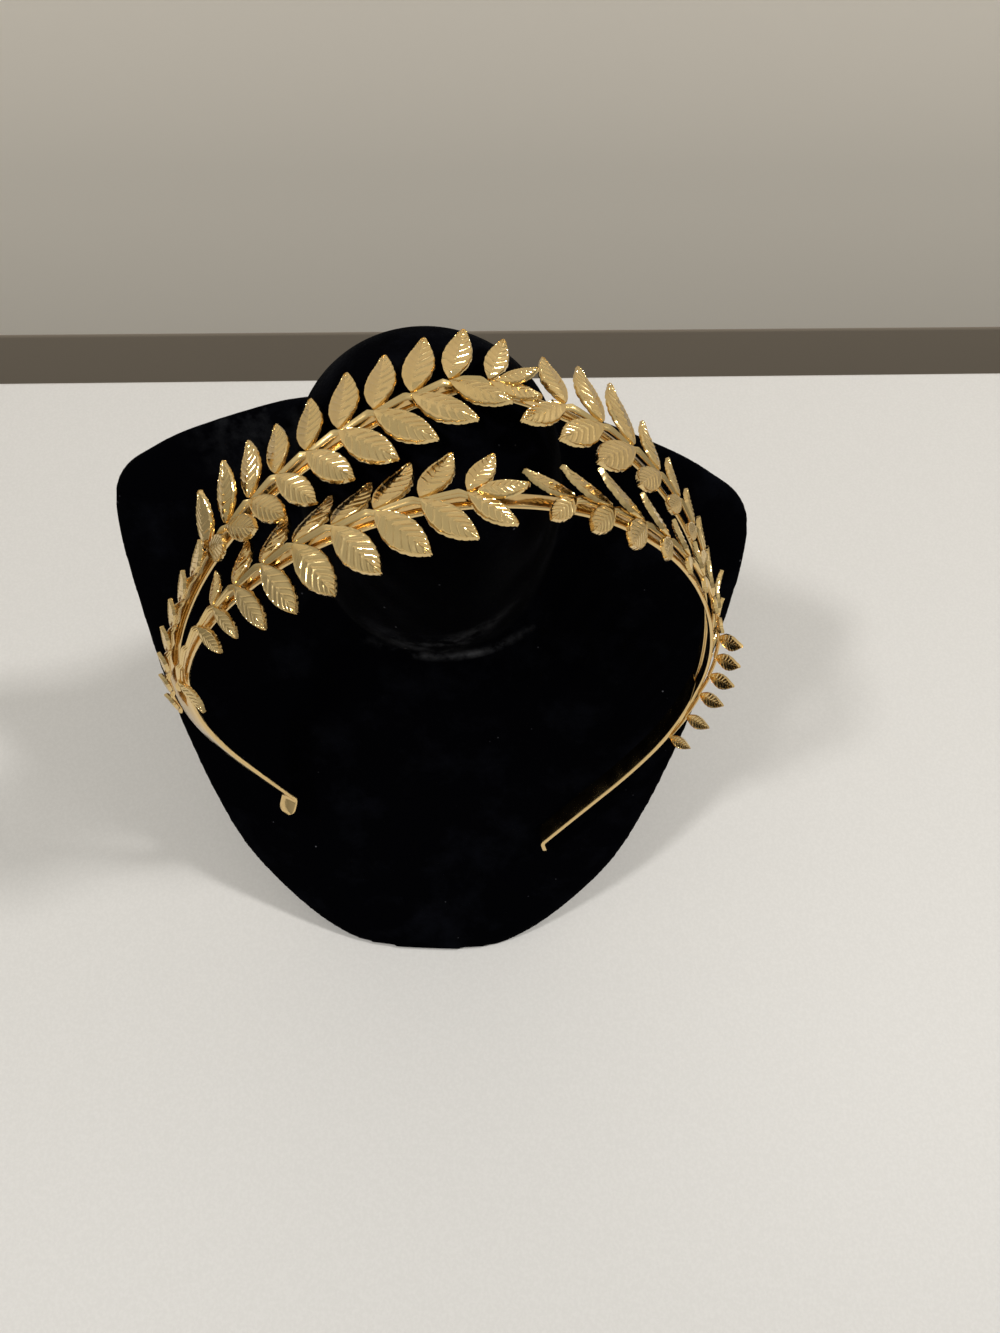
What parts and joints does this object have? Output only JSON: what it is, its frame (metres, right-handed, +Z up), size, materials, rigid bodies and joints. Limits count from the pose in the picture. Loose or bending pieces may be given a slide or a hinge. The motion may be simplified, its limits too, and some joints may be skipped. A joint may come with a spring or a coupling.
{
  "type": "leaf headband on a plain neck bust",
  "caption": "Two-row gilt leaf headband with open centre, worn over the top of a plain black velvet neck bust.",
  "frame": {"origin": "middle of the bounding box's lower face, on the surface that the bust stands on", "axes": "+Z up, -Y the way the chest faces, +X to the viewer's right when the chest is looked at"},
  "size_m": [0.183, 0.1586, 0.2131],
  "materials": {
    "gilt_band": "polished",
    "gilt_leaf": "satin",
    "velvet": "black velvet",
    "strut": "matt cloth"
  },
  "bodies": {
    "root": {"band": "gilt_band", "front_left_branch": "gilt_leaf", "front_right_branch": "gilt_leaf", "back_left_branch": "gilt_leaf", "back_right_branch": "gilt_leaf", "bust_body": "velvet", "bust_strut": "strut"}
  },
  "joints": []
}
